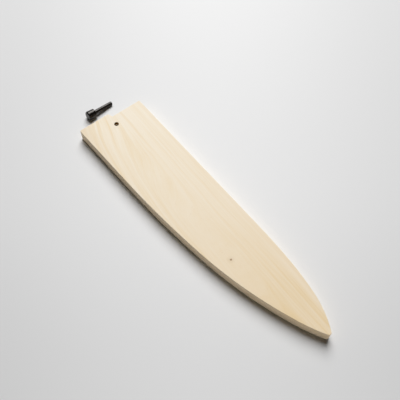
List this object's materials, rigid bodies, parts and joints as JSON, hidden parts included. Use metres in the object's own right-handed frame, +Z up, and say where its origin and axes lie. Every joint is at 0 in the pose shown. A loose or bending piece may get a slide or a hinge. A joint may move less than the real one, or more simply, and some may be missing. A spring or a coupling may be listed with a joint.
{
  "type": "wooden knife sheath",
  "caption": "Flat pointed wooden sheath for a chef's knife, open at a stepped mouth, with a round hole near the mouth and a loose turned pin that locks the blade in.",
  "frame": {"origin": "on the axis of the pin hole, at the underside of the sheath, which is the surface that it lies on", "axes": "+X from the mouth to the tip, +Y to the side of the knife's spine, +Z up through the pin hole"},
  "size_m": [0.2806, 0.0601, 0.0108],
  "materials": {
    "sheath_wood": "fine sanded, bare",
    "core_wood": "fine sanded, bare",
    "pin_wood": "turned and polished"
  },
  "bodies": {
    "sheath": {"back_board": "sheath_wood", "spine_strip": "core_wood", "edge_strip": "core_wood", "front_board": "sheath_wood"},
    "pin": {"locking_pin": "pin_wood"}
  },
  "joints": [
    {"name": "pin_lift", "type": "slide", "parent": "sheath", "child": "pin", "axis": [0, 0, 1], "range_m": [0, 0.04]}
  ]
}
